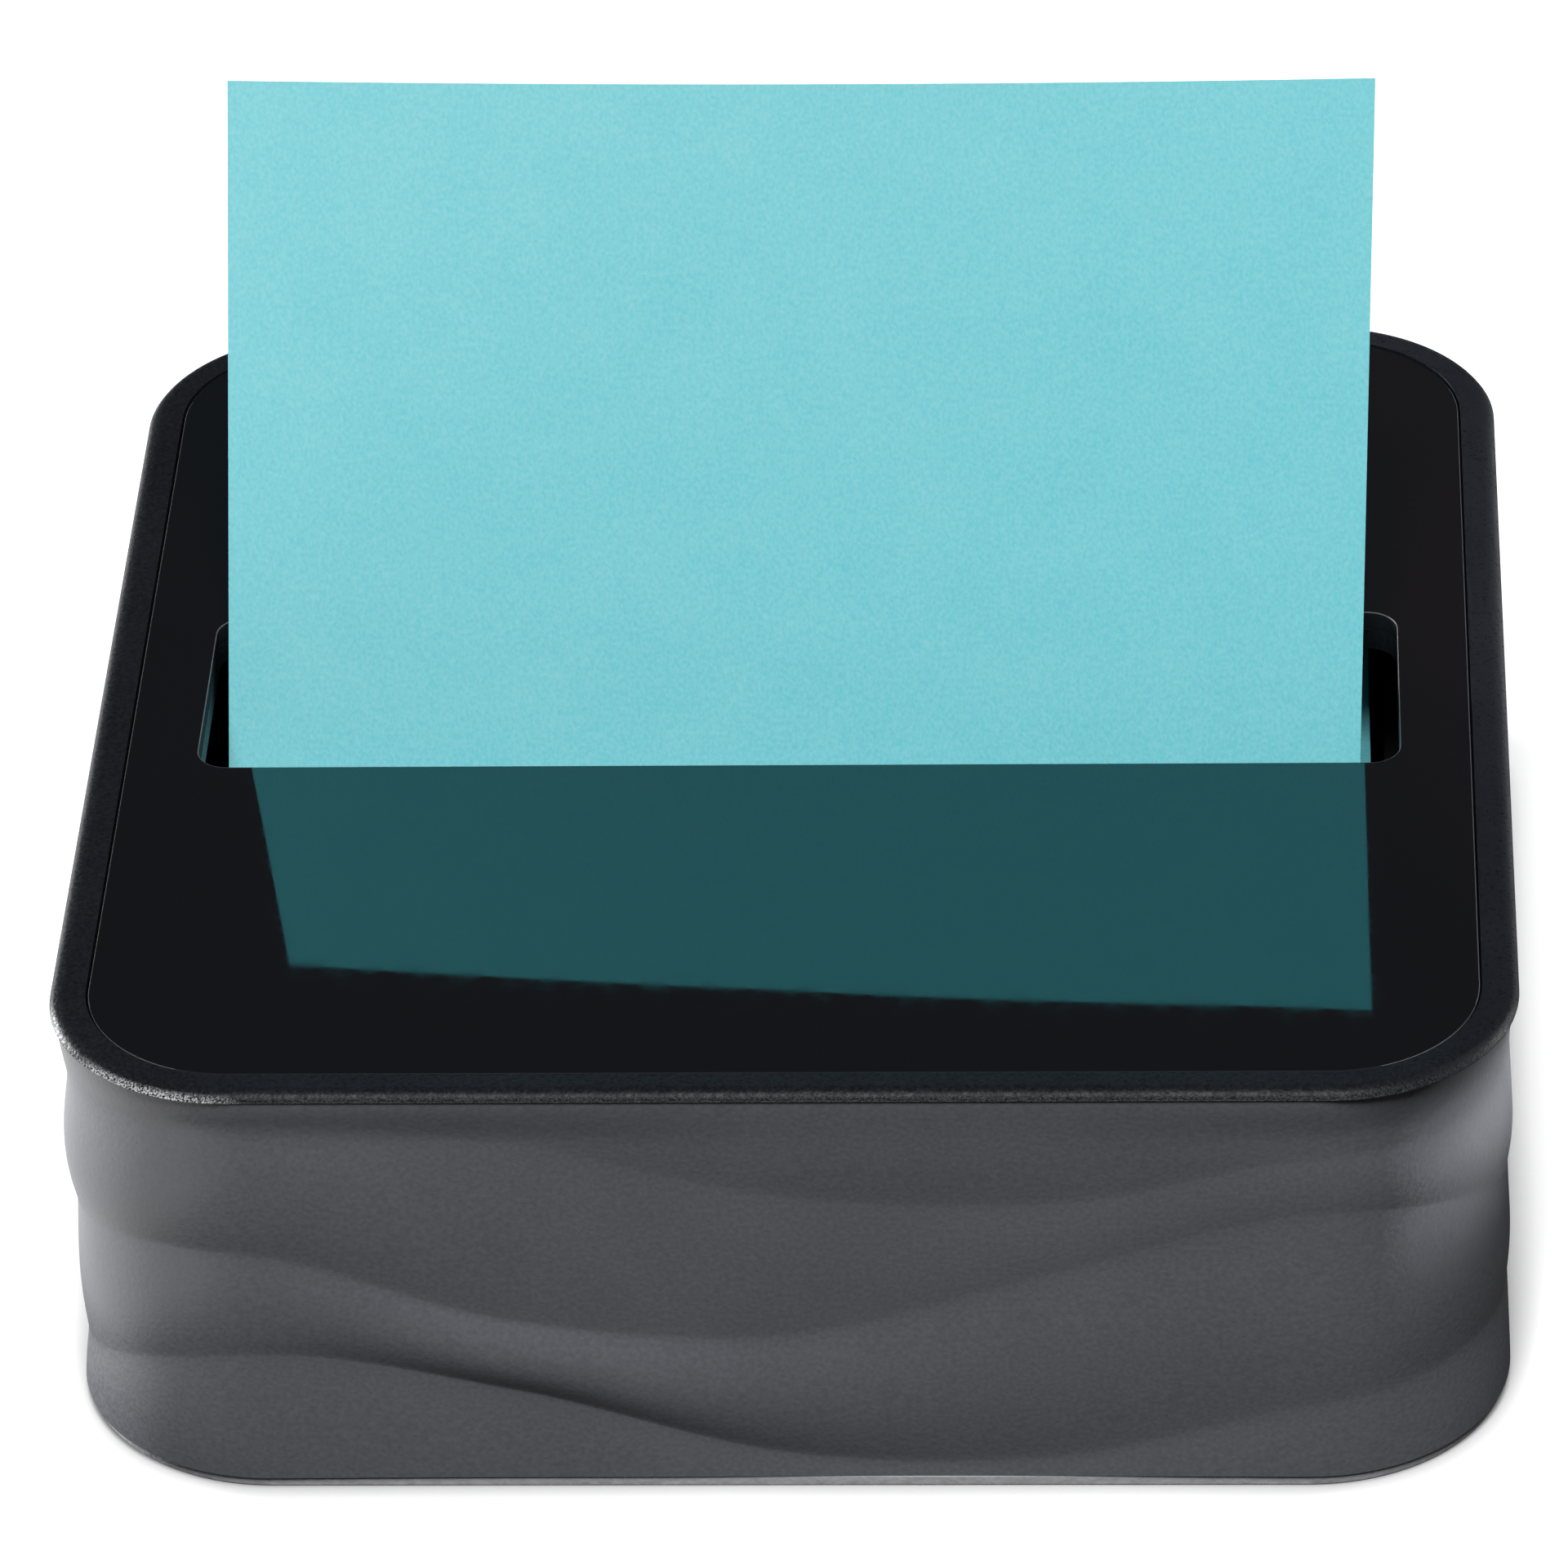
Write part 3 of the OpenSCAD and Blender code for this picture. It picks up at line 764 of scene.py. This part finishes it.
screw = peg("base_screw_first", HEAD_D, head_low, head_top, 0, 0)
add(screw, thread)
for width, depth in ((RECESS_L, RECESS_W), (RECESS_W, RECESS_L)):
    cut(screw, plate("recess", width, depth, 0.1 * MM, head_low - 1 * MM, head_low + RECESS_H))
soften(screw, 0.06 * MM, 2)
for number, (x, y) in enumerate(corners, 1):
    select_only(screw)
    bpy.ops.object.duplicate(linked=False)
    copy = bpy.context.object
    copy.name = f"threaded_screw_{number}"
    copy.location = (x * SCREW_XY, y * SCREW_XY, 0)
    bpy.ops.object.transform_apply(location=True, rotation=True, scale=True)
    finish_piece(copy, screw_steel, "screw_steel", f"base_screw_{number}")
bpy.data.objects.remove(screw)

# %% [markdown]
# The stack in the tray is a pile of folded notes, none of them quite square on the next. Each leaf
# is a thin plate that nearly fills its layer, so a fine line of shadow parts it from the next one. A
# seeded dice moves each by a fraction of a millimetre, so that every run gives the same pile.

# %% Stack of notes
LEAF, LEAF_FILL, SLIP = 0.3 * MM, 0.93, 0.12 * MM
dice = random.Random(7)
leaf_count = round((pad_top - pad_z) / LEAF)
leaves = []
for number in range(leaf_count):
    leaf = plate(f"leaf_{number}", note_side - 2 * SLIP, note_side - 2 * SLIP, 0.05 * MM,
                 pad_z + number * LEAF, pad_z + (number + LEAF_FILL) * LEAF)
    leaf.data.transform(Matrix.Translation((dice.uniform(-SLIP, SLIP),
                                            dice.uniform(-SLIP, SLIP), 0)))
    leaves.append(leaf)
bpy.ops.object.select_all(action="DESELECT")
for leaf in leaves:
    leaf.select_set(True)
bpy.context.view_layer.objects.active = leaves[0]
bpy.ops.object.join()
stack = bpy.context.object
stack.name = "note_stack"
finish_piece(stack, note_aqua, "note_aqua", "note_pad")

# %% [markdown]
# The standing note lies flat on the stack for a finger's width, turns up in one soft bend and leans
# back a little through the slot, bowed by a fraction of a millimetre. It is a grid whose vertices
# follow that path, given its thickness by Solidify.

# %% Standing note
PAPER = 0.15 * MM
BEND_R = 6 * MM
LEAN = (21.6, 22.2)
FLAT = (21.5 * MM, 19.6 * MM)
BEND_Y = (-3.6 * MM, -8.4 * MM)
DRIFT, SHIFT, BOW = 1.8 * MM, 0.2 * MM, 0.65 * MM
NOTE_COLUMNS, NOTE_ROWS = 60, 150


def between(pair, share):
    return pair[0] + (pair[1] - pair[0]) * share


def note_point(column, row):
    u = column / NOTE_COLUMNS
    length = note_side * row / NOTE_ROWS
    lean = math.radians(between(LEAN, u))
    turn_end = math.pi / 2 - lean
    radius = BEND_R + PAPER / 2
    arc = BEND_R * turn_end
    s = length - between(FLAT, u)
    turn = max(0, min(turn_end, s / BEND_R))
    rest = max(0, s - arc)
    free = max(0, s / (note_side - between(FLAT, u)))
    x = (u - 0.5) * note_side + DRIFT * (length / note_side - 1) + SHIFT
    y = (between(BEND_Y, u) + min(0, s) + radius * math.sin(turn) + rest * math.sin(lean)
         - BOW * 4 * u * (1 - u) * free ** 2)
    z = pad_top + BEND_R + PAPER - radius * math.cos(turn) + rest * math.cos(lean)
    return x, y, z


note = wrapped_grid("standing_note", NOTE_COLUMNS, NOTE_ROWS, note_point)
select_only(note)
body = note.modifiers.new("paper", "SOLIDIFY")
body.thickness = PAPER
body.offset = 0
bpy.ops.object.modifier_apply(modifier=body.name)
bpy.ops.object.shade_smooth_by_angle(angle=math.radians(35))
finish_piece(note, note_aqua, "note_aqua", "top_note")

# %% [markdown]
# The stage is a plain white floor under soft light. A white floor throws so much light back up that
# it would wash out the shallow waves, so this one is lit, and takes shadows, but is kept out of the
# light that reaches the product: it is hidden from diffuse, glossy and shadow rays. A faint glow of
# its own, as on a light table, keeps the shadows on it pale. Close round the foot less light comes in
# from the side, and an Ambient Occlusion node darkens the paint there by a little.

# %% Floor
bpy.ops.object.select_all(action="DESELECT")
bpy.ops.mesh.primitive_plane_add(size=6)
floor = bpy.context.object
floor.name = "pale_floor"
floor.visible_diffuse = False
floor.visible_glossy = False
floor.visible_shadow = False
FLOOR_TONE, FLOOR_GLOW, SHADE_REACH = (0.80, 0.80, 0.80), 0.32, 3.5 * MM
paint, tree, shader = new_finish("pale_floor_paint", FLOOR_TONE, 0.9)
shader.inputs["Specular IOR Level"].default_value = 0
shader.inputs["Emission Strength"].default_value = FLOOR_GLOW
nearness = tree.nodes.new("ShaderNodeAmbientOcclusion")
nearness.inputs["Distance"].default_value = SHADE_REACH
openness = spread(tree, nearness.outputs["AO"], 0.3, 1.0, 0.35, 0.95)
shaded_paint = two_tone(tree, shader, openness, (0, 0, 0), FLOOR_TONE)
tree.links.new(shaded_paint, shader.inputs["Emission Color"])
floor.data.materials.append(paint)
print("floor is", round(floor.dimensions.x, 1), "m wide")

# %% [markdown]
# Each lamp is placed by its direction from what it lights: degrees round from the front, with the
# right positive, and degrees up. Its power follows from the brightness that it gives there, because
# the light of a soft panel falls with the square of the distance. The key light hangs high in front
# and shades every wave from above. A low one behind the left and a bounce panel at floor level give
# the left corner its pale edge. On the right a small high lamp and a second bounce panel are fainter,
# and a long narrow lamp with a tight spread lays a band of light under the cover. Nothing bright
# stands behind the product where the gloss panel would mirror it.

# %% Lights
def soft_light(name, place, aim, width, depth, power):
    bpy.ops.object.light_add(type="AREA", location=place)
    lamp = bpy.context.object
    lamp.name = name
    lamp.data.shape = "RECTANGLE"
    lamp.data.size = width
    lamp.data.size_y = depth
    lamp.data.energy = power
    lamp.rotation_euler = (Vector(aim) - Vector(place)).to_track_quat("-Z", "Y").to_euler()
    return lamp


def lamp_at(name, round_from_front, rise, distance, width, depth, brightness, aim=(0, 0, 0.02)):
    turn, lift = math.radians(round_from_front), math.radians(rise)
    way = Vector((math.sin(turn) * math.cos(lift), -math.cos(turn) * math.cos(lift), math.sin(lift)))
    power = brightness * (math.pi * distance) ** 2
    return soft_light(name, Vector(aim) + way * distance, aim, width, depth, power)


def floor_panel(name, x_range, y_range, brightness):
    width, depth = x_range[1] - x_range[0], y_range[1] - y_range[0]
    middle = Vector((sum(x_range) / 2, sum(y_range) / 2, -2 * MM))
    soft_light(name, middle, middle + Vector((0, 0, 1)), width, depth,
               brightness * math.pi * width * depth)


lamp_at("key", 0, 62, 1.3, 0.6, 0.5, 1.53)
lamp_at("low_left", -119, 4, 0.8, 0.2, 0.16, 2.5, (-0.045, 0, 0.02))
lamp_at("high_right", 110, 50, 0.6, 0.05, 0.04, 0.15, (0.045, 0, 0.02))
band = lamp_at("right_band", 112, 18, 0.3, 0.13, 0.006, 0.013, (0.0469, 0, 0.0295))
band.data.spread = math.radians(3)
floor_panel("left_bounce", (-0.25, -0.055), (-0.10, 0.25), 1.2)
floor_panel("right_bounce", (0.14, 0.40), (0.0, 0.25), 0.6)

# %% World and view
AIR_TONE = (0.055, 0.055, 0.060)
world = bpy.data.worlds.new("studio")
bpy.context.scene.world = world
world.use_nodes = True
world.node_tree.nodes["Background"].inputs["Color"].default_value = (*AIR_TONE, 1)
bpy.context.scene.view_settings.view_transform = "Standard"
